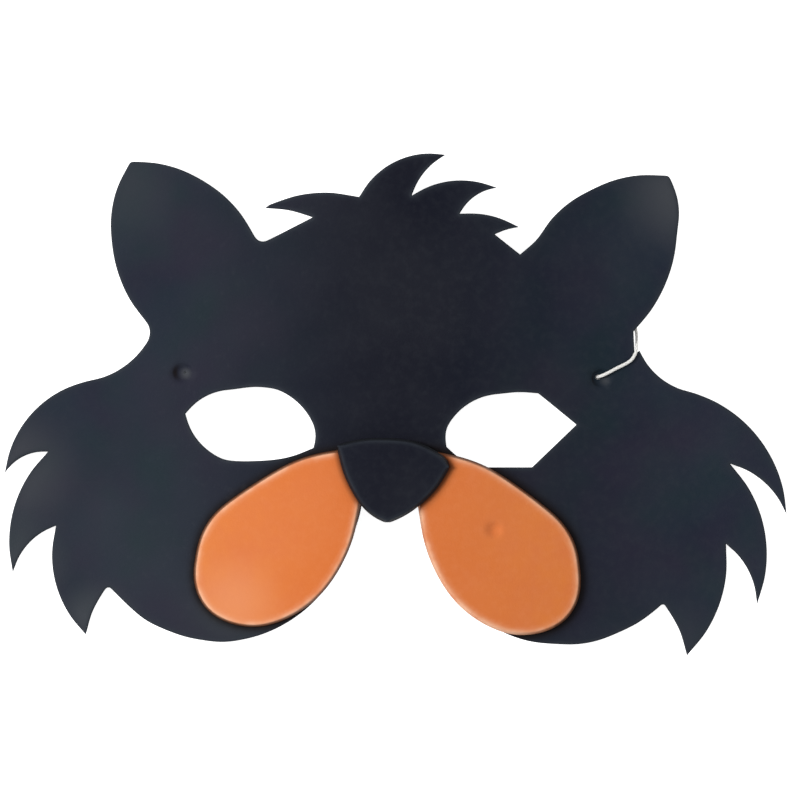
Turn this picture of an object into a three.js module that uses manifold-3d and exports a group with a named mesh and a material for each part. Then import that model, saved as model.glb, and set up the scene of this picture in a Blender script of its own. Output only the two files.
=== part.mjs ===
// A child's half mask cut from foam sheet: a black cat's face with orange cheeks and a loose elastic.
// It lies face up. Millimetres, +X to the right as the front is seen, +Y towards the ears, +Z out of the front.

import * as THREE from 'three';
import { mergeVertices } from 'three/addons/utils/BufferGeometryUtils.js';
import Module from 'manifold-3d';

const wasm = await Module();
wasm.setup();

// Foam
const SHEET_THICKNESS = 2;
const CHEEK_THICKNESS = 2;
const NOSE_THICKNESS = 2;
const GLUE_GAP = 0.3;

// The arch of the sheet: part of a cone whose point lies far above the ears
const ARCH_RISE = 13;
const ARCH_REACH = 91.5;
const CONE_POINT_RISE = 500;

// Outline, from the middle of the face and from the line through the eyes
const FUR_REACH = 107.3;
const FUR_DROP = 59.7;
const MUZZLE_REACH = 53;
const MUZZLE_DROP = 55;
const EAR_REACH = 78.5;
const EAR_HEIGHT = 49;
const NOTCH_RISE = 23;
const BROW_RISE = 50;
const TUFT_REACH = 37;
const TUFT_HEIGHT = 26;

// Eye holes
const EYE_WIDTH = 35.5;
const EYE_HEIGHT = 20.4;
const EYE_SPACING = 71.6;
const EYE_SHIFT = -3.1;
const EYE_RISE = 0.6;

// Nose
const NOSE_WIDTH = 30.7;
const NOSE_HEIGHT = 22.6;
const NOSE_TOP_DROP = 2.6;

// Elastic and the holes that hold it
const LEFT_HOLE_DIAMETER = 4.6;
const RIGHT_HOLE_DIAMETER = 2.8;
const HOLE_SPACING = 114.3;
const HOLE_SHIFT = -0.5;
const HOLE_RISE = 15.3;
const HOLE_TILT = 2;
const CORD_DIAMETER = 0.9;
const KNOT_WIDTH = 3.4;
const KNOT_HEIGHT = 2;
const KNOT_SINK = 0.9;
const KNOT_GAP = 0.3;

// Facets
const STRIPS_IN_REACH = 32;
const ARC_TURN = 0.24;
const HOLE_SIDES = 16;
const CORD_SIDES = 8;
const CORD_STEPS_PER_POINT = 2;
const KNOT_SIDES = 12;

// Tables of outlines. Each row is the next point, and bow is how far the stretch that leads to it bulges
// outwards, as a share of its length. Those of a side run from the nose gap outwards and up.
// x is a share of MUZZLE_REACH and y of MUZZLE_DROP.
const RIGHT_MUZZLE = [
  { x: 0.015, y: -0.25, bow: 0 },
  { x: 0.174, y: -0.39, bow: -0.22 },
  { x: 0.19, y: -0.515, bow: 0.02 },
  { x: 0.336, y: -0.81, bow: 0.055 },
  { x: 0.475, y: -0.92, bow: 0.05 },
  { x: 0.743, y: -1.035, bow: 0.055 },
];
const LEFT_MUZZLE = [
  { x: -0.015, y: -0.25, bow: 0 },
  { x: 0.145, y: -0.4, bow: -0.22 },
  { x: 0.164, y: -0.475, bow: 0.02 },
  { x: 0.353, y: -0.845, bow: 0.06 },
  { x: 0.632, y: -1.038, bow: 0.06 },
  { x: 0.781, y: -1.078, bow: 0.03 },
];

// x is a share of the way from the muzzle's edge to the first valley of the fur, and y of MUZZLE_DROP.
const RIGHT_JAW = [
  { x: 0.223, y: -1.046, bow: 0.03 },
  { x: 0.671, y: -0.985, bow: 0.07 },
];
const LEFT_JAW = [
  { x: 0.211, y: -1.082, bow: 0.04 },
  { x: 0.56, y: -1.033, bow: 0.04 },
  { x: 0.739, y: -0.982, bow: 0.03 },
];

// x is a share of FUR_REACH and y of FUR_DROP.
const RIGHT_FUR = [
  { x: 0.702, y: -0.775, bow: 0.05 },
  { x: 0.715, y: -0.775, bow: -0.3 },
  { x: 0.774, y: -1, bow: -0.06 },
  { x: 0.866, y: -0.481, bow: 0.118 },
  { x: 0.95, y: -0.755, bow: -0.115 },
  { x: 0.87, y: -0.111, bow: 0.15 },
  { x: 1.019, y: -0.338, bow: -0.12 },
  { x: 0.771, y: 0.211, bow: 0.16 },
];
const LEFT_FUR = [
  { x: 0.704, y: -0.775, bow: 0.02 },
  { x: 0.722, y: -0.775, bow: -0.3 },
  { x: 0.768, y: -0.986, bow: -0.06 },
  { x: 0.853, y: -0.489, bow: 0.14 },
  { x: 0.96, y: -0.711, bow: -0.13 },
  { x: 0.879, y: -0.149, bow: 0.137 },
  { x: 0.988, y: -0.252, bow: -0.14 },
  { x: 0.79, y: 0.179, bow: 0.158 },
];

// x is a share of EAR_REACH and y of EAR_HEIGHT above the notch.
const RIGHT_EAR = [
  { x: 0.86, y: 0.014, bow: -0.127 },
  { x: 0.843, y: -0.008, bow: 0 },
  { x: 0.837, y: 0.12, bow: 0 },
  { x: 0.981, y: 0.694, bow: 0.095 },
  { x: 0.95, y: 0.986, bow: 0.09 },
  { x: 0.932, y: 1.002, bow: 0.2 },
  { x: 0.675, y: 0.91, bow: 0.078 },
  { x: 0.488, y: 0.62, bow: 0.081 },
  { x: 0.431, y: 0.533, bow: 0 },
];
const LEFT_EAR = [
  { x: 0.859, y: -0.002, bow: -0.118 },
  { x: 0.859, y: 0.067, bow: -0.1 },
  { x: 1.004, y: 0.584, bow: 0.09 },
  { x: 0.949, y: 0.973, bow: 0.083 },
  { x: 0.931, y: 0.992, bow: 0.2 },
  { x: 0.698, y: 0.906, bow: 0.07 },
  { x: 0.499, y: 0.59, bow: 0.08 },
  { x: 0.454, y: 0.569, bow: -0.25 },
];

// The tuft's locks from right to left: x is a share of TUFT_REACH and y of TUFT_HEIGHT above the brow.
const TUFT = [
  { x: 0.722, y: 0.169, bow: 0 },
  { x: 0.9, y: 0.254, bow: -0.05 },
  { x: 0.457, y: 0.376, bow: 0.082 },
  { x: 0.727, y: 0.662, bow: -0.125 },
  { x: 0.097, y: 0.55, bow: 0.13 },
  { x: 0.341, y: 0.992, bow: -0.1 },
  { x: -0.292, y: 0.52, bow: 0.168 },
  { x: -0.957, y: 0.412, bow: 0.088 },
  { x: -0.985, y: 0.375, bow: 0.1 },
  { x: -0.632, y: 0.292, bow: -0.05 },
];

// x is a share of EYE_WIDTH and y of EYE_HEIGHT, both from the middle of the eye hole.
const RIGHT_EYE = [
  { x: 0.508, y: 0.11, bow: 0.03 },
  { x: 0.205, y: 0.515, bow: -0.02 },
  { x: -0.083, y: 0.495, bow: 0.04 },
  { x: -0.494, y: 0.025, bow: 0.137 },
  { x: -0.492, y: -0.24, bow: 0.07 },
  { x: -0.261, y: -0.503, bow: 0.055 },
  { x: 0.173, y: -0.48, bow: 0.02 },
];
const LEFT_EYE = [
  { x: -0.504, y: 0.1, bow: 0.12 },
  { x: -0.183, y: -0.503, bow: 0.132 },
  { x: 0.189, y: -0.482, bow: 0.02 },
  { x: 0.496, y: -0.306, bow: 0.045 },
  { x: 0.492, y: 0.007, bow: 0.1 },
  { x: 0.203, y: 0.462, bow: 0.1 },
  { x: -0.138, y: 0.446, bow: 0.06 },
];

// The orange cheek, of which each side has one: x is a share of MUZZLE_REACH and y of MUZZLE_DROP.
const CHEEK = [
  { x: 0.094, y: -0.095, bow: 0.03 },
  { x: 0.158, y: -0.4, bow: 0.03 },
  { x: 0.323, y: -0.805, bow: 0.07 },
  { x: 0.642, y: -0.998, bow: 0.085 },
  { x: 0.917, y: -0.935, bow: 0.098 },
  { x: 0.992, y: -0.673, bow: 0.14 },
  { x: 0.858, y: -0.406, bow: 0.11 },
  { x: 0.509, y: -0.18, bow: 0.02 },
  { x: 0.311, y: -0.12, bow: 0.03 },
];

// x is a share of NOSE_WIDTH and y of NOSE_HEIGHT below the nose's crest.
const NOSE = [
  { x: -0.479, y: -0.097, bow: 0.05 },
  { x: -0.247, y: -0.805, bow: 0.06 },
  { x: -0.013, y: -1.01, bow: 0.075 },
  { x: 0.25, y: -0.8, bow: 0.05 },
  { x: 0.521, y: -0.314, bow: 0.06 },
  { x: 0.463, y: -0.195, bow: 0.15 },
  { x: -0.01, y: 0, bow: 0.088 },
];

// The elastic's route from the left knot to the right one. It drops to the surface under the mask, lies
// there in one loose curve from ear to ear, comes out beside the right ear, climbs over the edge in the
// notch and goes back through the right hole.
const CORD_ROUTE = [
  [-57.7, 14.3, 2.25],
  [-57.7, 14.6, 1.8],
  [-57.7, 15.5, 1.02],
  [-57.8, 17.8, 0.66],
  [-58.8, 28, 0.6],
  [-59, 41, 0.6],
  [-55, 52.5, 0.6],
  [-47.5, 56, 0.6],
  [-40.5, 48.5, 0.6],
  [-37.5, 37, 0.6],
  [-32.5, 26.5, 0.6],
  [-24.5, 19, 0.6],
  [-17.5, 10, 0.6],
  [-12, -0.5, 0.6],
  [-4.5, -6.5, 0.6],
  [4, -4.5, 0.6],
  [8.5, 4.5, 0.6],
  [12.5, 15, 0.6],
  [21.5, 21, 0.6],
  [31, 25.5, 0.6],
  [37.5, 34.5, 0.6],
  [42, 46.5, 0.6],
  [49.5, 55.5, 0.6],
  [58.5, 54, 0.6],
  [62.8, 45, 0.6],
  [64.9, 35, 0.6],
  [66.15, 30.6, 0.62],
  [66.6, 28.4, 0.93],
  [66.75, 26.4, 2],
  [66.7, 24.9, 3.4],
  [66.4, 23, 4.5],
  [65.2, 21, 4.85],
  [61.2, 18.6, 5.6],
  [58.6, 17.15, 6.15],
  [57.3, 16.5, 5.85],
  [56.4, 16.2, 5],
  [56.1, 16, 4],
  [56.1, 16, 3.6],
];

// How high the underside of the arched sheet stands above the surface that the mask lies on
function archHeight(x, y) {
  const taper = (CONE_POINT_RISE - y) / CONE_POINT_RISE;
  const share = Math.min(Math.abs(x) / (ARCH_REACH * taper), 1);
  return ARCH_RISE * taper * Math.cos((share * Math.PI) / 2) ** 2;
}

// The points of a table, in millimetres, with each bowed stretch as an arc
function trace(rows, reach, height, centre = new THREE.Vector2(), from = null) {
  const points = [];
  const place = (row) => new THREE.Vector2(row.x * reach, row.y * height).add(centre);
  let last = from ?? place(rows.at(-1));
  for (const row of rows) {
    const next = place(row);
    const chord = next.clone().sub(last);
    const outwards = new THREE.Vector2(chord.y, -chord.x);
    const turn = 4 * Math.atan(2 * Math.abs(row.bow));
    const steps = Math.max(1, Math.ceil(turn / ARC_TURN));
    for (let step = 1; step <= steps; step += 1) {
      const angle = turn * (step / steps - 0.5);
      const along = turn ? 0.5 + Math.sin(angle) / (2 * Math.sin(turn / 2)) : step / steps;
      const rise = turn ? (Math.cos(angle) - Math.cos(turn / 2)) / (2 * Math.sin(turn / 2)) : 0;
      points.push(
        last.clone().addScaledVector(chord, along).addScaledVector(outwards, rise * Math.sign(row.bow)),
      );
    }
    last = next;
  }
  return points;
}

// The outline of one half of the sheet, from the nose gap round the cheek and the ear to the brow
function sideOutline(muzzle, jaw, fur, ear) {
  const gapTop = new THREE.Vector2(muzzle[0].x * MUZZLE_REACH, muzzle[0].y * MUZZLE_DROP);
  const points = trace(muzzle, MUZZLE_REACH, MUZZLE_DROP, new THREE.Vector2(), gapTop);
  const edge = points.at(-1);
  const jawReach = fur[0].x * FUR_REACH - edge.x;
  points.push(...trace(jaw, jawReach, MUZZLE_DROP, new THREE.Vector2(edge.x, 0), edge));
  points.push(...trace(fur, FUR_REACH, FUR_DROP, new THREE.Vector2(), points.at(-1)));
  points.push(...trace(ear, EAR_REACH, EAR_HEIGHT, new THREE.Vector2(0, NOTCH_RISE), points.at(-1)));
  return points;
}

function mirrored(points) {
  return points.map((point) => new THREE.Vector2(-point.x, point.y)).reverse();
}

function toSolid(geometry) {
  const bare = geometry.clone();
  bare.deleteAttribute('normal');
  bare.deleteAttribute('uv');
  const merged = mergeVertices(bare, 1e-4);
  return new wasm.Manifold(
    new wasm.Mesh({
      numProp: 3,
      vertProperties: new Float32Array(merged.attributes.position.array),
      triVerts: new Uint32Array(merged.index.array),
    }),
  );
}

function toGeometry(solid) {
  const mesh = solid.getMesh();
  const geometry = new THREE.BufferGeometry();
  geometry.setAttribute('position', new THREE.BufferAttribute(mesh.vertProperties, 3));
  geometry.setIndex(new THREE.BufferAttribute(mesh.triVerts, 1));
  geometry.computeVertexNormals();
  return geometry;
}

// A slab that follows the arch in flat strips, each between two straight lines of the cone
function archedSlab(bottom, thickness) {
  const margin = 1.25;
  const strips = STRIPS_IN_REACH * margin;
  const top = BROW_RISE + 2 * TUFT_HEIGHT;
  const drop = 2 * FUR_DROP;
  const slab = new THREE.BoxGeometry(2, 1, 1, strips, 1, 1);
  const corners = slab.attributes.position;
  for (let i = 0; i < corners.count; i += 1) {
    const y = corners.getY(i) > 0 ? top : -drop;
    const taper = (CONE_POINT_RISE - y) / CONE_POINT_RISE;
    const x = corners.getX(i) * margin * ARCH_REACH * taper;
    const z = archHeight(x, y) + bottom + (corners.getZ(i) > 0 ? thickness : 0);
    corners.setXYZ(i, x, y, z);
  }
  return toSolid(slab);
}

// Foam cut to an outline and laid along the arch, with its underside at a height above that of the sheet
function cutFoam(outline, holes, bottom, thickness) {
  const shape = new THREE.Shape(outline);
  shape.holes = holes.map((hole) => new THREE.Path(hole));
  const depth = bottom + thickness + 2 * ARCH_RISE;
  const cutter = new THREE.ExtrudeGeometry(shape, { depth, bevelEnabled: false });
  cutter.translate(0, 0, -1);
  return toGeometry(archedSlab(bottom, thickness).intersect(toSolid(cutter)));
}

function foamMesh(name, geometry, colour) {
  const material = new THREE.MeshStandardMaterial({ color: colour, roughness: 0.85, metalness: 0 });
  const mesh = new THREE.Mesh(geometry, material);
  mesh.name = name;
  return mesh;
}

const BLACK = 0x23262e;
const ORANGE = 0xe08246;
const WHITE = 0xe9e8e4;

const holeCentres = [-1, 1].map(
  (side) =>
    new THREE.Vector2(HOLE_SHIFT + (side * HOLE_SPACING) / 2, HOLE_RISE + (side * HOLE_TILT) / 2),
);

function faceSheet() {
  const right = sideOutline(RIGHT_MUZZLE, RIGHT_JAW, RIGHT_FUR, RIGHT_EAR);
  const brow = new THREE.Vector2(0, BROW_RISE);
  const tuft = trace(TUFT, TUFT_REACH, TUFT_HEIGHT, brow, right.at(-1));
  const left = mirrored(sideOutline(LEFT_MUZZLE, LEFT_JAW, LEFT_FUR, LEFT_EAR));
  const eye = (rows, side) =>
    trace(rows, EYE_WIDTH, EYE_HEIGHT, new THREE.Vector2((side * EYE_SPACING) / 2 + EYE_SHIFT, EYE_RISE));
  const diameters = [LEFT_HOLE_DIAMETER, RIGHT_HOLE_DIAMETER];
  const elasticHoles = holeCentres.map((centre, i) =>
    new THREE.EllipseCurve(centre.x, centre.y, diameters[i] / 2, diameters[i] / 2)
      .getPoints(HOLE_SIDES)
      .slice(1),
  );
  const holes = [eye(LEFT_EYE, -1), eye(RIGHT_EYE, 1), ...elasticHoles];
  return cutFoam([...right, ...tuft, ...left], holes, 0, SHEET_THICKNESS);
}

function cheek(side) {
  const right = trace(CHEEK, MUZZLE_REACH, MUZZLE_DROP);
  return cutFoam(side > 0 ? right : mirrored(right), [], SHEET_THICKNESS + GLUE_GAP, CHEEK_THICKNESS);
}

function nose() {
  const crest = new THREE.Vector2(0, -NOSE_TOP_DROP);
  const bottom = SHEET_THICKNESS + CHEEK_THICKNESS + 2 * GLUE_GAP;
  return cutFoam(trace(NOSE, NOSE_WIDTH, NOSE_HEIGHT, crest), [], bottom, NOSE_THICKNESS);
}

// The cord's rings follow the route's own points, which lie closer together in the tight bends
class CordRoute extends THREE.CatmullRomCurve3 {
  getUtoTmapping(share) {
    return share;
  }
}

function elasticCord() {
  const points = CORD_ROUTE.map((point) => new THREE.Vector3(...point));
  const route = new CordRoute(points, false, 'centripetal');
  const section = new THREE.Shape(
    new THREE.EllipseCurve(0, 0, CORD_DIAMETER / 2, CORD_DIAMETER / 2).getPoints(CORD_SIDES).slice(1),
  );
  const steps = (points.length - 1) * CORD_STEPS_PER_POINT;
  const tube = new THREE.ExtrudeGeometry(section, { steps, extrudePath: route, bevelEnabled: false });
  return toGeometry(toSolid(tube));
}

function knot(centre, top) {
  const shape = new THREE.SphereGeometry(KNOT_WIDTH / 2, KNOT_SIDES, KNOT_SIDES / 2);
  shape.rotateX(Math.PI / 2);
  shape.scale(1, 1, KNOT_HEIGHT / KNOT_WIDTH);
  shape.translate(centre.x, centre.y, top - KNOT_HEIGHT / 2);
  return toGeometry(toSolid(shape));
}

const group = new THREE.Group();
const sheet = foamMesh('face_sheet', faceSheet(), BLACK);
group.add(sheet);
group.add(foamMesh('cheek_left', cheek(-1), ORANGE));
group.add(foamMesh('cheek_right', cheek(1), ORANGE));
group.add(foamMesh('nose', nose(), BLACK));

// The left knot is drawn into its hole, and the right one lies behind the sheet.
const [leftHole, rightHole] = holeCentres;
const leftKnotTop = archHeight(leftHole.x, leftHole.y) + SHEET_THICKNESS - KNOT_SINK;
const rightKnotTop = archHeight(rightHole.x, rightHole.y) - KNOT_GAP;
group.add(foamMesh('knot_left', knot(leftHole, leftKnotTop), WHITE));
group.add(foamMesh('knot_right', knot(rightHole, rightKnotTop), WHITE));
group.add(foamMesh('elastic_cord', elasticCord(), WHITE));

// The origin is on the surface, under the middle of the sheet
const middle = new THREE.Box3().setFromObject(sheet).getCenter(new THREE.Vector3());
group.position.set(-middle.x, -middle.y, 0);

export default group;
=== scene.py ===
import math

import bpy
import numpy as np
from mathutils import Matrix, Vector
from mathutils.geometry import delaunay_2d_cdt


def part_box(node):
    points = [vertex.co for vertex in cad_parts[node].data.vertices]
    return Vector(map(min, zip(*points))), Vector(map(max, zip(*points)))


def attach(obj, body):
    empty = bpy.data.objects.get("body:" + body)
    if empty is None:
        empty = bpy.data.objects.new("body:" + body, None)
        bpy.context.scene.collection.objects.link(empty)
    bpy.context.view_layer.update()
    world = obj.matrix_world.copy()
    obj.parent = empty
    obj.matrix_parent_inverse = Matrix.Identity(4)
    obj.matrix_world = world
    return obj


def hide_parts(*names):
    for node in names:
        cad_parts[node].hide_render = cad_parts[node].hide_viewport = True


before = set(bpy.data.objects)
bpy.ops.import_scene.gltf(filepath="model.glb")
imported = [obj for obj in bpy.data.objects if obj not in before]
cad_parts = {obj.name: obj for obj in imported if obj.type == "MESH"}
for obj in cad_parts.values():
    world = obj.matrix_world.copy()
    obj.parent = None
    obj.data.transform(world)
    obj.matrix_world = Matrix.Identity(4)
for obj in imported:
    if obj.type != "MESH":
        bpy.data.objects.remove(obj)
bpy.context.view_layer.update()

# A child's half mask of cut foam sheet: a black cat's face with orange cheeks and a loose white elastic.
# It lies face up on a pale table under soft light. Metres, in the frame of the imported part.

MM = 0.001

# The middle of the face, from which the cord's route and the places on the face are given
FACE = np.array([-0.001663, -0.008182])

# The arch of the sheet: part of a cone whose point lies far above the ears
ARCH_RISE = 13 * MM
ARCH_REACH = 91.5 * MM
CONE_POINT_RISE = 500 * MM

# Camera, straight above the mask
VIEW_WIDTH = 220 * MM
VIEW_CENTRE = (0.4 * MM, 0.0)
VIEW_HEIGHT = 4 * MM
VIEW_TURN = math.radians(1.7)
LENS = 500
SENSOR = 36

# Elastic, with a braid of a few strands, and any direction that its first step doesn't take
ELASTIC_DIAMETER = 0.9 * MM
ELASTIC_SIDES = 16
ELASTIC_STEP = 0.25 * MM
BRAID_PITCH = 2.4 * MM
BRAID_STRANDS = 3
BRAID_DEPTH = 0.05
GROOVE_SHARPNESS = 2.5
NOT_ALONG_CORD = (0.31, 0.87, 0.38)

# Knots: the thickness of the pulled-tight cord in them, the gap between their ends in radians, the points
# of their loops, and the reach and drop of the short cut tail in millimetres. Each is at an end of the
# elastic's line, with its tail turned in radians and its top sunk below the CAD knot's.
KNOT_CORD_DIAMETER = 0.92 * ELASTIC_DIAMETER
KNOT_GAP = 0.3
KNOT_POINTS = 26
KNOT_STEP = 0.12 * MM
KNOT_TAIL = [
    (0.5, 0.1),
    (1.1, 0.3),
]
KNOTS = [
    {"side": "left", "end": 0, "tail_turn": 0.6, "sink": 0.3 * MM},
    {"side": "right", "end": -1, "tail_turn": 2.4, "sink": 0},
]

# Foam: the steps of its edges and faces, its corners, its roundings above and below, the hollow of the cut,
# the width of the painted highlight at its rims, and how far the cut of the cheeks and the nose flares
EDGE_STEP = 0.7 * MM
FILL_STEP = 1.3 * MM
CORNER_TURN = math.radians(27)
CORNER_RADIUS = 0.1 * MM
TOP_ROUNDING = 0.45 * MM
BOTTOM_ROUNDING = 0.15 * MM
EDGE_HOLLOW = 0.06 * MM
RIM_WIDTHS = {"black_foam": 0.85 * MM, "orange_foam": 1.1 * MM}
FLARE = 0.6 * MM
CHEEK_STEP = 0.8 * MM

# Foam up close: the sizes, shares and depths of its shades, specks and cells, and of the stretches where the
# painted highlight at its rims is fainter
SHADE_SIZE = 26 * MM
SHADE_SHARE = 0.12
SPECK_SIZE = 2.2 * MM
SPECK_SHARE = 0.12
SPECK_DEPTH = 0.05 * MM
CELL_SIZE = 0.55 * MM
CELL_DEPTH = 0.06 * MM
RIM_LIGHT_PATCH_SIZE = 5 * MM
FAINTEST_RIM_LIGHT = 0.35
FOAM_ROUGHNESS = (0.58, 0.76)

# Elastic up close
FIBRE_SIZE = 0.12 * MM
FIBRE_DEPTH = 0.04 * MM
SOILED_SIZE = 9 * MM
SOILED_SHARE = 0.25
ELASTIC_ROUGHNESS = (0.7, 0.9)

# The range in which most values of the noise lie, and those over which each kind of patch comes in
NOISE_RANGE = (0.3, 0.7)
TINT_RANGE = (0.42, 0.68)
SPECK_RANGE = (0.45, 0.75)
RIM_LIGHT_RANGE = (0.3, 0.6)
SOILED_RANGE = (0.4, 0.7)

# The colour sockets of a mix node
MIX_FIRST = 6
MIX_SECOND = 7
MIX_RESULT = 2

# Table: its half width and how far it lies below the mask, how much it glows, and its shades and grain
TABLE_REACH = 1500 * MM
TABLE_DROP = 0.01 * MM
TABLE_GLOW = 0.8
TABLE_SHADE_SIZE = 300 * MM
TABLE_GRAIN_SIZE = 1.5 * MM
TABLE_GRAIN_DEPTH = 0.02 * MM

# Light of the room, and the square lights: place and size in metres and power in watts
ROOM_LIGHT = 0.62
LIGHTS = [
    {"name": "key_light", "place": (-0.78, 0.12, 0.95), "size": 0.3, "power": 11},
    {"name": "top_light", "place": (0.6, 0.6, 1.5), "size": 0.8, "power": 2},
]

# The elastic's route in metres from the middle of the face: from below the left hole along the table, up
# round the edge beside the right ear, across the front and down into the right hole
CORD_ROUTE = [
    (-0.0577, 0.0143, 0.00225),
    (-0.0577, 0.0146, 0.0018),
    (-0.0577, 0.0155, 0.00102),
    (-0.0578, 0.0178, 0.00066),
    (-0.0588, 0.028, 0.0006),
    (-0.059, 0.041, 0.0006),
    (-0.055, 0.0525, 0.0006),
    (-0.0475, 0.056, 0.0006),
    (-0.0405, 0.0485, 0.0006),
    (-0.0375, 0.037, 0.0006),
    (-0.0325, 0.0265, 0.0006),
    (-0.0245, 0.019, 0.0006),
    (-0.0175, 0.01, 0.0006),
    (-0.012, -0.0005, 0.0006),
    (-0.0045, -0.0065, 0.0006),
    (0.004, -0.0045, 0.0006),
    (0.0085, 0.0045, 0.0006),
    (0.0125, 0.015, 0.0006),
    (0.0215, 0.021, 0.0006),
    (0.031, 0.0255, 0.0006),
    (0.0375, 0.0345, 0.0006),
    (0.042, 0.0465, 0.0006),
    (0.0495, 0.0555, 0.0006),
    (0.0585, 0.054, 0.0006),
    (0.0628, 0.045, 0.0006),
    (0.0649, 0.035, 0.0006),
    (0.06615, 0.0306, 0.00062),
    (0.0666, 0.0284, 0.00093),
    (0.06675, 0.0264, 0.002),
    (0.0667, 0.0249, 0.0034),
    (0.0664, 0.023, 0.0045),
    (0.0652, 0.021, 0.00485),
    (0.0612, 0.0186, 0.0056),
    (0.0586, 0.01715, 0.00615),
    (0.0573, 0.0165, 0.00585),
    (0.0564, 0.0162, 0.005),
    (0.0561, 0.016, 0.004),
    (0.0561, 0.016, 0.0036),
]


def arch_height(xy):
    """The height of the sheet's underside above the table, for points (n, 2)."""
    x, y = (xy - FACE).T
    taper = (CONE_POINT_RISE - y) / CONE_POINT_RISE
    share = np.minimum(np.abs(x) / (ARCH_REACH * taper), 1)
    return ARCH_RISE * taper * np.cos(share * math.pi / 2) ** 2


def smooth_line(points, closed, step):
    """A centripetal Catmull-Rom curve through the points, with about one point a step."""
    points = np.asarray(points, float)
    if closed:
        around = np.vstack([points[-1], points, points[:2]])
    else:
        around = np.vstack([2 * points[0] - points[1], points, 2 * points[-1] - points[-2]])
    gaps = np.sqrt(np.linalg.norm(np.diff(around, axis=0), axis=1))
    made = []
    for i in range(1, len(around) - 2):
        before, here, there, after = around[i - 1 : i + 3]
        g0, g1, g2 = gaps[i - 1 : i + 2]
        leave = there - here + g1 * ((here - before) / g0 - (there - before) / (g0 + g1))
        arrive = there - here + g1 * ((after - there) / g2 - (after - here) / (g1 + g2))
        count = max(1, round(np.linalg.norm(there - here) / step))
        t = (np.arange(count) / count)[:, None]
        made.append(
            (2 * t**3 - 3 * t**2 + 1) * here
            + (t**3 - 2 * t**2 + t) * leave
            + (3 * t**2 - 2 * t**3) * there
            + (t**3 - t**2) * arrive
        )
    if not closed:
        made.append(points[-1:])
    return np.vstack(made)


def new_object(name, vertices, faces, materials, smooth=True):
    mesh = bpy.data.meshes.new(name)
    mesh.from_pydata([tuple(v) for v in vertices], [], faces)
    mesh.validate()
    mesh.update()
    for material in materials:
        mesh.materials.append(material)
    mesh.shade_smooth() if smooth else mesh.shade_flat()
    made = bpy.data.objects.new(name, mesh)
    bpy.context.scene.collection.objects.link(made)
    return made


def ride(piece, slot, *nodes):
    """Dresses a piece: hides the CAD nodes it stands for and sets the body it moves with. The slot is not
    used.
    """
    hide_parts(*nodes)
    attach(piece, "root")
    return piece


# Camera

def add_camera():
    data = bpy.data.cameras.new("camera")
    data.lens = LENS
    data.sensor_width = SENSOR
    camera = bpy.data.objects.new("camera", data)
    camera.location = (*VIEW_CENTRE, VIEW_HEIGHT + VIEW_WIDTH * LENS / SENSOR)
    camera.rotation_euler = (0, 0, VIEW_TURN)
    bpy.context.scene.collection.objects.link(camera)
    bpy.context.scene.camera = camera


# Materials

def add_node(tree, kind, inputs=None, **settings):
    """A shader node with its settings and inputs, where an input that is a socket is linked."""
    made = tree.nodes.new(kind)
    for key, value in settings.items():
        setattr(made, key, value)
    for key, value in (inputs or {}).items():
        if isinstance(value, bpy.types.NodeSocket):
            tree.links.new(value, made.inputs[key])
        else:
            made.inputs[key].default_value = value
    return made


def new_material(name, **shader):
    """A material, its node tree and its shader, whose plain values are set on the sockets."""
    material = bpy.data.materials.new(name)
    material.use_nodes = True
    tree = material.node_tree
    bsdf = tree.nodes["Principled BSDF"]
    for key, value in shader.items():
        bsdf.inputs[key.replace("_", " ")].default_value = value
    return material, tree, bsdf


def noise(tree, size, detail=3, roughness=0.5):
    """Noise whose features are about size metres wide, from 0 to 1."""
    place = add_node(tree, "ShaderNodeTexCoord").outputs["Object"]
    inputs = {"Vector": place, "Scale": 1 / size, "Detail": detail, "Roughness": roughness}
    return add_node(tree, "ShaderNodeTexNoise", inputs).outputs["Fac"]


def cells(tree, size):
    """The closed cells of foam, size metres wide: 0 in the middle of each cell."""
    place = add_node(tree, "ShaderNodeTexCoord").outputs["Object"]
    return add_node(tree, "ShaderNodeTexVoronoi", {"Vector": place, "Scale": 1 / size}).outputs["Distance"]


def spread(tree, value, low, high, to_low=0.0, to_high=1.0):
    inputs = {"Value": value, "From Min": low, "From Max": high, "To Min": to_low, "To Max": to_high}
    return add_node(tree, "ShaderNodeMapRange", inputs).outputs["Result"]


def times(tree, a, b):
    return add_node(tree, "ShaderNodeMath", {0: a, 1: b}, operation="MULTIPLY").outputs["Value"]


def mix(tree, share, first, second):
    """A colour between two colours, each a socket or plain numbers."""
    inputs = {"Factor": share}
    made = add_node(tree, "ShaderNodeMix", inputs, data_type="RGBA")
    for socket, value in ((MIX_FIRST, first), (MIX_SECOND, second)):
        if isinstance(value, bpy.types.NodeSocket):
            tree.links.new(value, made.inputs[socket])
        else:
            made.inputs[socket].default_value = (*value, 1)
    return made.outputs[MIX_RESULT]


def attribute(tree, name):
    return add_node(tree, "ShaderNodeAttribute", attribute_name=name).outputs["Fac"]


def bumps(tree, *layers):
    """The normal after several layers of bump, each a height, its distance in metres and its strength."""
    normal = None
    for height, distance, strength in layers:
        inputs = {"Height": height, "Distance": distance, "Strength": strength}
        if normal:
            inputs["Normal"] = normal
        normal = add_node(tree, "ShaderNodeBump", inputs).outputs["Normal"]
    return normal


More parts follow.
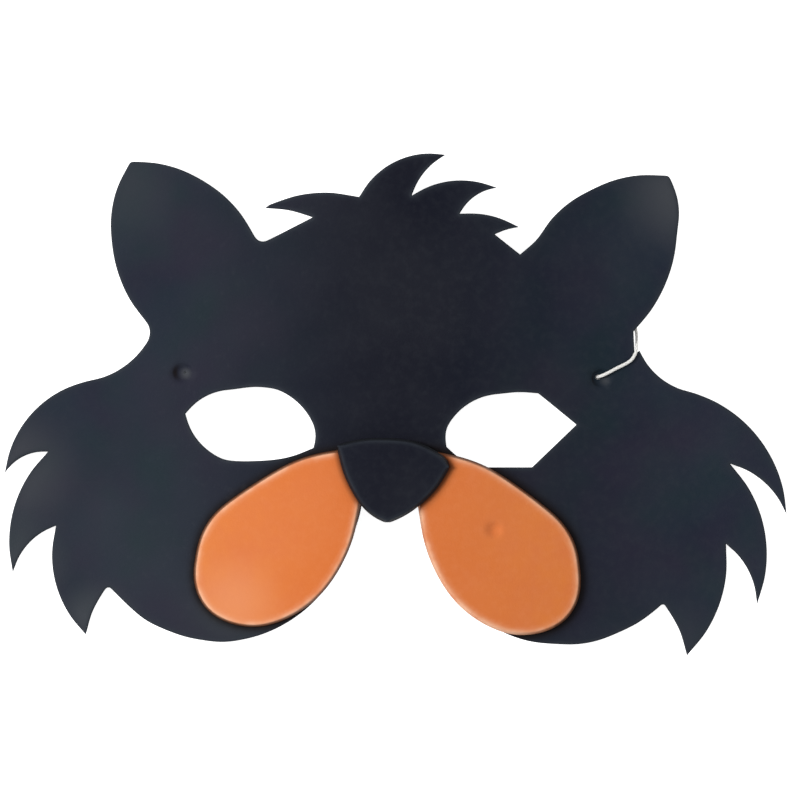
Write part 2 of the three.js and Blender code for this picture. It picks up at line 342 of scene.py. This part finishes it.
def foam_material(name, face, middle, pale_and_highlight, rim_light, cut, painted_shadow, tints):
    """Closed-cell foam: its colour on the face, darker in the mask's middle as painted shade, paler in random
    shades and specks and in painted highlights, at rims as painted highlight, on cuts as painted shade and
    beside glued pieces as painted shadow.

    The face has patches of two tints, each with its size in metres and its greatest share.
    """
    material, tree, bsdf = new_material(name, Specular_IOR_Level=0.1)
    shades = spread(tree, noise(tree, SHADE_SIZE, 2), *NOISE_RANGE)
    specks = noise(tree, SPECK_SIZE, 4, 0.6)
    grain = cells(tree, CELL_SIZE)
    colour = face
    for tint, size, share in tints:
        colour = mix(tree, spread(tree, noise(tree, size, 2), *TINT_RANGE, 0, share), colour, tint)
    # Painted shade: darker towards the mask's middle, where the crown of the arch reflects less of the room's
    # light.
    colour = mix(tree, attribute(tree, "middle"), colour, middle)
    colour = mix(tree, times(tree, shades, SHADE_SHARE), colour, pale_and_highlight)
    # Painted highlights, where curled tips, the left cheek and the slopes of the dimples catch the light.
    colour = mix(tree, attribute(tree, "pale_and_highlight"), colour, pale_and_highlight)
    colour = mix(tree, spread(tree, specks, *SPECK_RANGE, 0, SPECK_SHARE), colour, pale_and_highlight)
    # Painted highlight at the rounded rims, fainter in random stretches.
    rim_light_patches = spread(tree, noise(tree, RIM_LIGHT_PATCH_SIZE), *RIM_LIGHT_RANGE, FAINTEST_RIM_LIGHT, 1)
    colour = mix(tree, times(tree, attribute(tree, "rim_light"), rim_light_patches), colour, rim_light)
    # Painted shade on the cut walls.
    colour = mix(tree, attribute(tree, "cut"), colour, cut)
    # Painted shadows beside the pieces glued on top, and painted shade on the left side of the dimples.
    colour = mix(tree, attribute(tree, "painted_shadow"), colour, painted_shadow)
    tree.links.new(colour, bsdf.inputs["Base Color"])
    tree.links.new(spread(tree, specks, *NOISE_RANGE, *FOAM_ROUGHNESS), bsdf.inputs["Roughness"])
    normal = bumps(tree, (specks, SPECK_DEPTH, 0.35), (grain, CELL_DEPTH, 0.5))
    tree.links.new(normal, bsdf.inputs["Normal"])
    return material


def elastic_material(name, clean, groove, soiled):
    """White braided elastic with painted shade in the grooves of the braid, and slightly soiled in patches.
    """
    material, tree, bsdf = new_material(name, Sheen_Weight=0.3, Sheen_Roughness=0.5)
    fibres = noise(tree, FIBRE_SIZE, 4, 0.7)
    # Painted shade in the grooves of the braid.
    braid = mix(tree, attribute(tree, "groove"), clean, groove)
    stains = spread(tree, noise(tree, SOILED_SIZE), *SOILED_RANGE, 0, SOILED_SHARE)
    colour = mix(tree, stains, braid, soiled)
    tree.links.new(colour, bsdf.inputs["Base Color"])
    tree.links.new(spread(tree, fibres, *NOISE_RANGE, *ELASTIC_ROUGHNESS), bsdf.inputs["Roughness"])
    tree.links.new(bumps(tree, (fibres, FIBRE_DEPTH, 0.5)), bsdf.inputs["Normal"])
    return material


def floor_material():
    material, tree, bsdf = new_material(
        "pale_table", Roughness=0.8, Emission_Color=(1, 1, 1, 1), Emission_Strength=TABLE_GLOW
    )
    shades = spread(tree, noise(tree, TABLE_SHADE_SIZE, 3), *NOISE_RANGE)
    colour = mix(tree, shades, (0.93, 0.93, 0.93), (0.9, 0.9, 0.9))
    tree.links.new(colour, bsdf.inputs["Base Color"])
    grain = noise(tree, TABLE_GRAIN_SIZE)
    tree.links.new(bumps(tree, (grain, TABLE_GRAIN_DEPTH, 0.2)), bsdf.inputs["Normal"])
    return material


# Elastic and its knots

def swept_tube(name, line, radius, sides, material):
    """A braided cord along a line, closed at both ends by a small dome."""
    line = np.asarray(line)
    along = np.gradient(line, axis=0)
    along /= np.linalg.norm(along, axis=1, keepdims=True)
    side = np.zeros_like(line)
    side[0] = np.cross(along[0], NOT_ALONG_CORD)
    for i in range(1, len(line)):
        side[i] = side[i - 1] - along[i] * (side[i - 1] @ along[i])
        side[i] /= np.linalg.norm(side[i])
    side[0] = side[1] - along[0] * (side[1] @ along[0])
    side[0] /= np.linalg.norm(side[0])
    other = np.cross(along, side)
    travelled = np.concatenate([[0], np.cumsum(np.linalg.norm(np.diff(line, axis=0), axis=1))])
    angle = np.arange(sides) * 2 * math.pi / sides
    phase = (travelled * 2 * math.pi / BRAID_PITCH)[:, None]
    weave = np.abs(np.sin(BRAID_STRANDS * angle / 2 + phase) * np.sin(BRAID_STRANDS * angle / 2 - phase))
    reach = radius * (1 + BRAID_DEPTH * (2 * weave - 1))[..., None]
    around = np.cos(angle)[None, :, None] * side[:, None] + np.sin(angle)[None, :, None] * other[:, None]
    rings = line[:, None] + reach * around
    count = len(line)
    domes = line[:1] - along[:1] * radius / 3, line[-1:] + along[-1:] * radius / 3
    vertices = np.vstack([rings.reshape(-1, 3), *domes])
    faces = []
    for i in range(count - 1):
        for j in range(sides):
            k = (j + 1) % sides
            faces.append((i * sides + j, i * sides + k, (i + 1) * sides + k, (i + 1) * sides + j))
    first, last = count * sides, count * sides + 1
    for j in range(sides):
        k = (j + 1) % sides
        faces.append((first, k, j))
        faces.append((last, (count - 1) * sides + j, (count - 1) * sides + k))
    made = new_object(name, vertices, faces, [material])
    groove = made.data.attributes.new("groove", "FLOAT", "POINT")
    depths = 1 - np.minimum(weave.ravel() * GROOVE_SHARPNESS, 1)
    groove.data.foreach_set("value", np.concatenate([depths, [1, 1]]))
    return made


def overhand_knot(name, node, entry, tail_turn, sink, material):
    """A tight overhand knot in a CAD knot's box, less sink at its top, from the cord's end to a cut tail."""
    low, high = (np.array(corner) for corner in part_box(node))
    high[2] -= sink
    middle = (low + high) / 2
    room = (high - low - ELASTIC_DIAMETER) / 2
    lobe = math.pi / 3
    turn = np.linspace(lobe + KNOT_GAP, lobe + 2 * math.pi - KNOT_GAP, KNOT_POINTS)
    loops = np.stack(
        [
            (np.sin(turn) + 2 * np.sin(2 * turn)) / 3 * room[0],
            (np.cos(turn) - 2 * np.cos(2 * turn)) / 3 * room[1],
            -np.sin(3 * turn) * room[2],
        ],
        axis=1,
    )
    cos, sin = math.cos(tail_turn), math.sin(tail_turn)
    spin = np.array([[cos, -sin, 0], [sin, cos, 0], [0, 0, 1]])
    loops = loops @ spin.T + middle
    leave = loops[-1] - loops[-2]
    leave /= np.linalg.norm(leave)
    tail = [loops[-1] + leave * reach * MM + np.array([0, 0, -drop * MM]) for reach, drop in KNOT_TAIL]
    start = np.array(entry)
    lead = [start, start * 0.6 + loops[0] * 0.4]
    line = smooth_line(np.vstack([lead, loops, tail]), False, KNOT_STEP)
    return swept_tube(name, line, KNOT_CORD_DIAMETER / 2, ELASTIC_SIDES, material)


def add_elastic(material, knot_material):
    route = np.array(CORD_ROUTE) + [*FACE, 0]
    line = smooth_line(route, False, ELASTIC_STEP)
    cord = swept_tube("elastic", line, ELASTIC_DIAMETER / 2, ELASTIC_SIDES, material)
    ride(cord, "white_elastic", "elastic_cord")
    for one in KNOTS:
        name, node = f"{one['side']}_knot", f"knot_{one['side']}"
        knot = overhand_knot(name, node, line[one["end"]], one["tail_turn"], one["sink"], knot_material)
        ride(knot, "white_elastic", node)


# Foam

# How close points of the CAD mesh are the same point, how little a point stands off a straight line, and
# the least distance that counts elsewhere, in metres
WELD = 1e-6
STRAIGHT = 4e-6
CLOSE = 1e-7

# The least z of the normal of a face that is part of a piece's top
UPWARD = 0.5

# The points of a rounded corner and its share of the shorter side, the steps of the edge's roundings, how
# many points are measured at a time, and where the innermost ring beside an edge lies
CORNER_POINTS = 5
CORNER_SHARE = 0.4
TOP_STEPS = 4
BOTTOM_STEPS = 2
BATCH = 500
INNER_RING = 1.1 * MM
INNER_MARGIN = 1.15

# Shares of the room that the foam has beside its edge, for the roundings, the inner ring, the flare and
# the hollow of the cut edge
ROUNDING_SHARE = 0.6
INNER_SHARE = 0.78
FLARE_SHARE = 0.3
HOLLOW_SHARE = 0.2

# How much of the cut edge's painted shade is at the lower end of its rounding and in its hollow, and how much
# of it is gone where the cut faces the light
ROUNDING_CUT = 0.6
HOLLOW_CUT = 0.85
LIT_CUT = 0.8

# Shares of a step that the points of a face keep from the rows beside a painted shadow and from the grid
ROW_SPACE = 0.35
GRID_SPACE = 0.6

# The passes that smooth each outline, and the number of points below which an outline is left as it is
SOFTENING = {"face_sheet": 6, "cheek_left": 24, "cheek_right": 24, "nose": 10}
SMALLEST_SOFTENED = 40

# Gentle waves of the sheet: wavelength in x and y, and height, in millimetres
WAVES = [
    (83, 61, 0.10),
    (-47, 58, 0.07),
    (29, -37, 0.04),
]

# Tips that lift off the table: place on the face, reach and height, in millimetres
LIFTED_TIPS = [
    (-105, -14.5, 26, 0.9),
    (-102, -42, 16, 0.7),
    (-82, -58.5, 15, 0.5),
    (109, -20, 26, 0.9),
    (102, -45, 16, 0.7),
    (83, -59.5, 15, 0.5),
    (-74, 71, 34, 0.8),
    (74, 72, 34, 0.8),
]

# Painted highlights on the foam, where the curled tips, the left cheek and the lit slopes of the dimples
# catch the light: place on the face, reach in millimetres and strength
PAINTED_HIGHLIGHTS = [
    (-104, -14, 22, 0.72),
    (-101, -40, 16, 0.62),
    (-80, -56, 14, 0.65),
    (82, -57, 15, 0.3),
    (78, 68, 22, 0.8),
    (-78, 66, 22, 0.35),
    (-45, -52, 20, 0.24),
    (-75, -35, 36, 0.16),
    (-40, -48, 15, 0.3),
    (-56.9, 13.7, 2.3, 0.9),
    (58.3, 15.2, 2.0, 0.7),
]

# How far the painted shade of the mask's middle, where the crown of the arch reflects less of the room's
# light, reaches to each side, in millimetres
MIDDLE_SHADE_REACH = 48

# The way that the lit stretch of the right cheek's cut edge faces, where its painted shade is lighter
LIT_DIRECTION = (-0.85, -0.5)

# Dents of the orange cheeks: place on the face, reach and depth, in millimetres
DENTS = [
    (28.8, -26.6, 2.9, 1.0),
]

# Holes whose knots draw the foam in: the hole's place on the face, the outer and inner radius and the depth
# of the dimple, how far its outer and inner ring lie off the hole's middle, the radius of the room for the
# knot below, all in millimetres, and the strength of the painted shade on the dimple's left side, which faces
# away from the light
DIMPLES = [
    {
        "hole": (-57.65, 14.3),
        "outer": 2.95,
        "inner": 0.12,
        "depth": 1.0,
        "outer_off": (-0.35, -0.4),
        "inner_off": (0.5, -0.3),
        "room": 1.8,
        "dimple_shade": 1.0,
    },
    {
        "hole": (56.65, 16.3),
        "outer": 2.7,
        "inner": 0.75,
        "depth": 1.1,
        "outer_off": (0.45, -0.6),
        "inner_off": (-0.3, -0.2),
        "room": 0.8,
        "dimple_shade": 0.6,
    },
]

# How thick the foam is below a dimple, and how far its room for the knot slopes and widens, in millimetres
DIMPLE_FLOOR = 0.25
ROOM_SLOPE = 0.1
ROOM_FLARE = 0.15
ROOM_LIP = 0.05

# The place and the spread of the painted shade on a dimple's left side, as shares of the way down the dimple
DIMPLE_SHADE_PLACE = 0.25
DIMPLE_SHADE_SPREAD = 0.2

# Painted shadows on a CAD node beside and under each node that is glued on it: that node's name, their width
# in millimetres and their strength
CONTACT_SHADOWS = {
    "face_sheet": [("cheek_left", 1.5, 1), ("cheek_right", 1.9, 1)],
    "cheek_left": [("nose", 1.1, 0.9)],
    "cheek_right": [("nose", 1.6, 1)],
}

# How far the rows of points beside a painted shadow lie outside the outline of the piece above, in
# millimetres
SHADOW_ROWS = [-0.5, 0.25, 1.0, 1.8, 2.7]


def cad_outlines(node):
    """The closed outlines of a CAD node's upper face, (n, 2) each, with the foam on the left."""
    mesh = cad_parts[node].data
    mesh.calc_loop_triangles()
    keys = [tuple(round(c / WELD) for c in vertex.co) for vertex in mesh.vertices]
    edges = set()
    for triangle in mesh.loop_triangles:
        if triangle.normal.z > UPWARD:
            a, b, c = (keys[i] for i in triangle.vertices)
            edges.update([(a, b), (b, c), (c, a)])
    border = dict(edge for edge in sorted(edges) if edge[::-1] not in edges)
    loops = []
    while border:
        start = min(border)
        at = border.pop(start)
        loop = [start]
        while at != start:
            loop.append(at)
            at = border.pop(at)
        loops.append(np.array(loop)[:, :2] * WELD)
    return sorted((without_straight(loop) for loop in loops), key=lambda loop: -len(loop))


def without_straight(loop):
    """The loop without the points that lie on a straight line between their neighbours."""
    while True:
        before, after = np.roll(loop, 1, 0), np.roll(loop, -1, 0)
        chord = after - before
        off = np.abs(np.cross(chord, loop - before)) / np.linalg.norm(chord, axis=1)
        drop = off < STRAIGHT
        drop[1:] &= ~drop[:-1]
        if not drop.any():
            return loop
        loop = loop[~drop]


def rounded_corner(before, corner, after):
    """A few points that round a corner by a very small radius."""
    back, ahead = before - corner, after - corner
    lengths = np.linalg.norm(back), np.linalg.norm(ahead)
    back, ahead = back / lengths[0], ahead / lengths[1]
    half = math.acos(np.clip(back @ ahead, -1, 1)) / 2
    cut = min(CORNER_RADIUS / math.tan(half), CORNER_SHARE * min(lengths))
    t = np.linspace(0, 1, CORNER_POINTS)[:, None]
    return corner + cut * ((1 - t) ** 2 * back + t**2 * ahead)


def softened(line, closed, passes):
    """The line without the slight kinks where two arcs of an outline meet."""
    for _ in range(passes):
        if closed:
            line = (np.roll(line, 1, 0) + 2 * line + np.roll(line, -1, 0)) / 4
        elif len(line) > 2:
            line = np.vstack([line[:1], (line[:-2] + 2 * line[1:-1] + line[2:]) / 4, line[-1:]])
    return line


def fine_outline(loop, passes):
    """The smooth outline through a loop's points, with its sharp corners kept."""
    before, after = loop - np.roll(loop, 1, 0), np.roll(loop, -1, 0) - loop
    turn = np.abs(np.arctan2(np.cross(before, after), (before * after).sum(1)))
    corners = np.flatnonzero(turn > CORNER_TURN)
    if not len(corners):
        line = smooth_line(loop, True, EDGE_STEP)
        return line if len(line) < SMALLEST_SOFTENED else softened(line, True, passes)
    stretches = []
    for first, last in zip(corners, np.append(corners[1:], corners[0] + len(loop))):
        stretch = loop[np.arange(first, last + 1) % len(loop)]
        stretches.append(softened(smooth_line(stretch, False, EDGE_STEP), False, passes))
    made = []
    for i, stretch in enumerate(stretches):
        made.append(rounded_corner(stretches[i - 1][-2], stretch[0], stretch[1]))
        made.append(stretch[1:-1])
    return np.vstack(made)


def node_outlines(node):
    """The smooth outlines of a CAD node, of which the first is its outer one."""
    return [fine_outline(loop, SOFTENING[node]) for loop in cad_outlines(node)]


def inward_normals(loop):
    along = np.roll(loop, -1, 0) - np.roll(loop, 1, 0)
    inward = np.stack([-along[:, 1], along[:, 0]], 1)
    return inward / np.linalg.norm(inward, axis=1, keepdims=True)


def clear_radius(points, inward):
    """The largest circle inside the foam that touches the outline at each point."""
    clear = np.full(len(points), np.inf)
    for i in range(len(points)):
        apart = points - points[i]
        ahead = apart @ inward[i]
        seen = ahead > CLOSE
        clear[i] = ((apart[seen] ** 2).sum(1) / (2 * ahead[seen])).min()
    return clear


def inside(points, loops):
    """Whether each point lies within the loops, by counting the edges to its right."""
    odd = np.zeros(len(points), bool)
    for loop in loops:
        for a, b in zip(loop, np.roll(loop, -1, 0)):
            if a[1] != b[1]:
                crosses = (a[1] > points[:, 1]) != (b[1] > points[:, 1])
                at = a[0] + (points[:, 1] - a[1]) * (b[0] - a[0]) / (b[1] - a[1])
                odd ^= crosses & (points[:, 0] < at)
    return odd


def nearest(points, others):
    """The distance from each point to the nearest of the others."""
    return np.concatenate(
        [
            np.sqrt(((part[:, None] - others[None]) ** 2).sum(2)).min(1)
            for part in np.array_split(points, max(1, len(points) // BATCH))
        ]
    )


def fill(loops, step, extra):
    """Points and triangles between the loops: first the loops' own points, then extra ones and a grid."""
    border = np.vstack(loops)
    low, high = border.min(0), border.max(0)
    rows = np.arange(low[1], high[1], step * math.sqrt(3) / 2)
    grid = np.array(
        [(x, y) for i, y in enumerate(rows) for x in np.arange(low[0] + i % 2 * step / 2, high[0], step)]
    )
    if len(extra):
        extra = extra[inside(extra, loops)]
        extra = extra[nearest(extra, border) > ROW_SPACE * step]
        grid = grid[nearest(grid, extra) > GRID_SPACE * step]
    grid = grid[inside(grid, loops)]
    grid = grid[nearest(grid, border) > GRID_SPACE * step]
    points = np.vstack([border, extra, grid])
    faces, start = [], 0
    for loop in loops:
        around = range(start, start + len(loop))
        faces.append(list(around) if start == 0 else list(reversed(around)))
        start += len(loop)
    made = delaunay_2d_cdt([Vector(p) for p in points / MM], [], faces, 1, CLOSE, True)
    places, _, triangles, sources, _, held = made
    if len(places) != len(points):
        raise ValueError(f"the fill has {len(places)} points and not {len(points)}")
    index = [source[0] for source in sources]
    return points, [tuple(index[i] for i in t) for t, of in zip(triangles, held) if of == [0]]


def bell(xy, x, y, reach):
    """1 at a place on the face, falling smoothly to 0 at a distance."""
    away = np.linalg.norm((xy - FACE) / MM - (x, y), axis=1) / reach
    return np.clip(1 - away**2, 0, 1) ** 2


def lift(xy):
    """How far the foam's waves and curled tips stand above the plain arch."""
    x, y = ((xy - FACE) / MM).T
    raised = np.zeros(len(xy))
    for wave_x, wave_y, height in WAVES:
        raised += height * (1 + np.sin(2 * math.pi * (x / wave_x + y / wave_y)))
    for tip_x, tip_y, reach, height in LIFTED_TIPS:
        raised += height * bell(xy, tip_x, tip_y, reach)
    return raised * MM


def ring(places, height, cut=0.0, rim_light=0.0, painted_shadow=0.0):
    """A ring of points: their places, their height above the arch, and their shares of the cut's painted
    shade, the rim's painted highlight and painted shadow.
    """
    values = {"height": height, "cut": cut, "rim_light": rim_light, "painted_shadow": painted_shadow}
    return {"places": places, **{key: np.broadcast_to(value, len(places)) for key, value in values.items()}}


def joined_rings(rings):
    """The rings of one level, each round an outline of its own, as one."""
    return {key: np.concatenate([one[key] for one in rings]) for key in rings[0]}


def edge_rings(edge, inward, clear, bottom, top, flare, rim_width, clean):
    """The rings of a cut edge, from the top face round to the underside.

    The cut's painted shade is lighter where the cut faces the light, whose way is given by clean.
    """
    dark = 1 - LIT_CUT * np.clip(-inward @ clean, 0, 1) ** 0.5
    top_round = np.minimum(TOP_ROUNDING, ROUNDING_SHARE * clear)
    bottom_round = np.minimum(BOTTOM_ROUNDING, ROUNDING_SHARE * clear)
    slope = np.minimum(flare, FLARE_SHARE * clear) / 2
    inner = np.maximum(np.minimum(INNER_RING, INNER_SHARE * clear), top_round * INNER_MARGIN)
    profile = [(inner + slope, top, 0.0)]
    for angle in np.linspace(0, math.pi / 2, TOP_STEPS + 1):
        inset = slope + top_round * (1 - math.sin(angle))
        down = top_round * (1 - math.cos(angle))
        profile.append((inset, top - down, ROUNDING_CUT * math.sin(angle) ** 4))
    profile.append((np.minimum(EDGE_HOLLOW, HOLLOW_SHARE * clear), (top + bottom) / 2, HOLLOW_CUT))
    for angle in np.linspace(0, math.pi / 2, BOTTOM_STEPS + 1):
        inset = bottom_round * (1 - math.cos(angle)) - slope
        up = bottom_round * (1 - math.sin(angle))
        profile.append((inset, bottom + up, 1.0))
    profile.append((inner, bottom, 0.0))
    return [
        ring(edge + inward * inset[:, None], height, cut * dark, np.exp(-((inset / rim_width) ** 2)))
        for inset, height, cut in profile
    ]


def dimple_rings(loop, dimple, bottom, top):
    """The rings of a hole that its knot has drawn in: down the dimple, through and along the underside."""
    middle = loop.mean(0)
    out = loop - middle
    out /= np.linalg.norm(out, axis=1, keepdims=True)
    outer_off, inner_off = (np.array(dimple[key]) for key in ("outer_off", "inner_off"))
    rings = []
    for share in np.linspace(0, 1, TOP_STEPS + 3):
        radius = dimple["outer"] + (dimple["inner"] - dimple["outer"]) * share
        off = outer_off * (1 - share) + inner_off * share
        depth = dimple["depth"] * math.sin(share**0.6 * math.pi / 2) ** 2
        # Painted shade, strongest on the dimple's left side, which faces away from the light.
        dimple_shade = dimple["dimple_shade"] * math.exp(-(((share - DIMPLE_SHADE_PLACE) / DIMPLE_SHADE_SPREAD) ** 2))
        places = middle + (off + out * radius) * MM
        rings.append(ring(places, top - depth * MM, painted_shadow=dimple_shade * np.clip(-out[:, 0], 0, 1) ** 2))
    roof = top - (dimple["depth"] + DIMPLE_FLOOR) * MM
    under = [
        (dimple["inner"], roof),
        (dimple["room"], roof - ROOM_SLOPE * MM),
        (dimple["room"] + ROOM_FLARE, bottom + ROOM_LIP * MM),
    ]
    for radius, height in under:
        rings.append(ring(middle + (inner_off + out * radius) * MM, height, cut=1.0))
    rings.append(ring(rings[0]["places"], bottom))
    return rings


def shadow_row_points(outlines):
    """Rows of points along the outlines of the pieces that lie on a piece, for the painted shadows beside
    them.
    """
    rows = [outline - inward_normals(outline) * step * MM for outline in outlines for step in SHADOW_ROWS]
    return np.vstack(rows) if rows else np.zeros((0, 2))


def slab_faces(bounds, levels, spare, triangles):
    """The faces of a piece of foam: bands from each ring to the next, then its top and its underside.

    Its points are the rings' own, then the spare ones in the top face and as many in the underside.
    """
    count = bounds[-1]
    faces = []
    for level in range(levels - 1):
        near, far = level * count, (level + 1) * count
        for first, last in zip(bounds, bounds[1:]):
            for i in range(first, last):
                j = first + (i + 1 - first) % (last - first)
                faces.append((near + j, near + i, far + i, far + j))
    lowest = (levels - 1) * count
    for triangle in triangles:
        faces.append(tuple(i if i < count else i + lowest for i in triangle))
        faces.append(tuple(i + lowest if i < count else i + lowest + spare for i in reversed(triangle)))
    return faces


def painted_contact_shadows(node, xy, on_top):
    """How dark the painted shadow makes each point of a node's top face, beside and under the pieces on top
    of it.
    """
    dark = np.zeros(len(xy))
    for upper, width, strength in CONTACT_SHADOWS.get(node, []):
        away = nearest(xy, np.vstack(on_top[upper])) / MM / width
        covered = inside(xy, on_top[upper])
        dark = np.maximum(dark, strength * np.where(covered, 1, np.exp(-(away**2))))
    return dark


# clean: the way that a lit cut faces, where the cut's painted shade is lighter
def cut_foam(name, node, slot, material, step=FILL_STEP, flare=0.0, clean=(0, 0), dents=(), dimples=()):
    """A piece of foam cut to a CAD node's outline: rounded above, hollow at the cut and laid on the arch."""
    loops = node_outlines(node)
    inward = [inward_normals(loop) for loop in loops]
    clear = clear_radius(np.vstack(loops), np.vstack(inward))
    bounds = np.cumsum([0] + [len(loop) for loop in loops])
    corners = np.array([vertex.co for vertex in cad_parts[node].data.vertices])
    above = corners[:, 2] - arch_height(corners[:, :2])
    bottom, top = above.min(), above.max()
    rim_width = RIM_WIDTHS[slot]

    by_loop = []
    for loop, normals, first in zip(loops, inward, bounds):
        at = (loop.mean(0) - FACE) / MM
        dimple = next((one for one in dimples if np.linalg.norm(at - one["hole"]) < 1), None)
        if dimple:
            by_loop.append(dimple_rings(loop, dimple, bottom, top))
        else:
            room = clear[first : first + len(loop)]
            by_loop.append(edge_rings(loop, normals, room, bottom, top, flare, rim_width, np.array(clean)))
    levels = [joined_rings(rings) for rings in zip(*by_loop)]

    on_top = {upper: node_outlines(upper) for upper, _, _ in CONTACT_SHADOWS.get(node, [])}
    inner_loops = [levels[0]["places"][first:last] for first, last in zip(bounds, bounds[1:])]
    rows = shadow_row_points([loop for outlines in on_top.values() for loop in outlines])
    filled, triangles = fill(inner_loops, step, rows)
    spare = filled[bounds[-1] :]
    faces = slab_faces(bounds, len(levels), len(spare), triangles)
    spare_rim = np.exp(-((nearest(spare, np.vstack(loops)) / rim_width) ** 2))
    levels += [ring(spare, height, rim_light=spare_rim) for height in (top, bottom)]

    xy, level, cut, rim_light, dimple_shade = (np.concatenate([one[key] for one in levels]) for key in levels[0])
    upper_half = level > (top + bottom) / 2
    z = arch_height(xy) + lift(xy) + level
    for x, y, reach, depth in dents:
        z -= depth * MM * bell(xy, x, y, reach) * upper_half
    made = new_object(name, np.column_stack([xy, z]), faces, [material])
    # Painted shadows beside and under the pieces glued on top, and painted shade on the left side of each
    # dimple.
    painted_shadow = np.maximum(dimple_shade, painted_contact_shadows(node, xy, on_top) * upper_half)
    # Painted highlights, where curled tips, the left cheek and the slopes of the dimples catch the light.
    pale_and_highlight = sum(strength * bell(xy, x, y, reach) for x, y, reach, strength in PAINTED_HIGHLIGHTS)
    values = {
        "cut": cut,
        # The rims' painted highlight, none where a painted shadow lies.
        "rim_light": rim_light * (1 - painted_shadow),
        "pale_and_highlight": np.clip(pale_and_highlight, 0, 1),
        # Painted shade: the middle is darker, where the crown of the arch reflects less of the room's light.
        "middle": np.exp(-(((xy[:, 0] - FACE[0]) / MM / MIDDLE_SHADE_REACH) ** 2)),
        "painted_shadow": painted_shadow,
    }
    for key, value in values.items():
        made.data.attributes.new(key, "FLOAT", "POINT").data.foreach_set("value", value)
    return ride(made, slot, node)


# Floor and light

def add_floor():
    reach = TABLE_REACH
    corners = [(-reach, -reach, 0), (reach, -reach, 0), (reach, reach, 0), (-reach, reach, 0)]
    floor = new_object("table_top", corners, [(0, 1, 2, 3)], [floor_material()], smooth=False)
    floor.location.z = -TABLE_DROP


def add_light(name, place, size, power):
    """A square area light that faces the middle of the mask."""
    data = bpy.data.lights.new(name, "AREA")
    data.size = size
    data.energy = power
    light = bpy.data.objects.new(name, data)
    light.location = place
    light.rotation_euler = (-Vector(place)).to_track_quat("-Z", "Y").to_euler()
    bpy.context.scene.collection.objects.link(light)


def add_lights():
    for light in LIGHTS:
        add_light(**light)
    world = bpy.data.worlds.new("studio")
    world.use_nodes = True
    background = world.node_tree.nodes["Background"]
    background.inputs["Color"].default_value = (1, 1, 1, 1)
    background.inputs["Strength"].default_value = ROOM_LIGHT
    bpy.context.scene.world = world


add_camera()
# groove is the painted shade in the braid's grooves.
WHITE_ELASTIC = elastic_material(
    "white_elastic",
    clean=(0.84, 0.83, 0.80),
    groove=(0.50, 0.49, 0.47),
    soiled=(0.62, 0.60, 0.56),
)
# A darker copy of the elastic for the knots: painted shade of the knots that sit sunk in their holes and
# below the sheet.
SHADED_ELASTIC = elastic_material(
    "shaded_elastic",
    clean=(0.50, 0.49, 0.47),
    groove=(0.28, 0.27, 0.26),
    soiled=(0.34, 0.33, 0.31),
)
add_elastic(WHITE_ELASTIC, SHADED_ELASTIC)
# middle, rim, cut and seam are painted light: a darker middle, a highlight at the rims, shade on the cuts and
# shadows beside glued pieces; faded is both paler random tone and painted highlight.
BLACK_FOAM = foam_material(
    "black_foam",
    face=(0.0105, 0.0165, 0.0285),
    middle=(0.0025, 0.0032, 0.0095),
    pale_and_highlight=(0.048, 0.052, 0.059),
    rim_light=(0.022, 0.027, 0.035),
    cut=(0.008, 0.009, 0.012),
    painted_shadow=(0.004, 0.0015, 0.001),
    tints=[((0.004, 0.018, 0.022), 17 * MM, 0.6), ((0.014, 0.009, 0.026), 23 * MM, 0.6)],
)
ORANGE_FOAM = foam_material(
    "orange_foam",
    face=(0.59, 0.172, 0.042),
    middle=(0.57, 0.138, 0.029),
    pale_and_highlight=(0.66, 0.26, 0.12),
    rim_light=(0.74, 0.41, 0.26),
    cut=(0.07, 0.02, 0.006),
    painted_shadow=(0.035, 0.009, 0.003),
    tints=[((0.55, 0.140, 0.056), 12 * MM, 0.5), ((0.63, 0.19, 0.028), 4 * MM, 0.35)],
)
cut_foam("black_sheet", "face_sheet", "black_foam", BLACK_FOAM, dimples=DIMPLES)
cut_foam("left_cheek", "cheek_left", "orange_foam", ORANGE_FOAM, CHEEK_STEP, FLARE)
cut_foam(
    "right_cheek", "cheek_right", "orange_foam", ORANGE_FOAM, CHEEK_STEP, FLARE, LIT_DIRECTION, DENTS
)
cut_foam("black_nose", "nose", "black_foam", BLACK_FOAM, CHEEK_STEP, FLARE)
add_floor()
add_lights()
bpy.context.scene.view_settings.view_transform = "Standard"
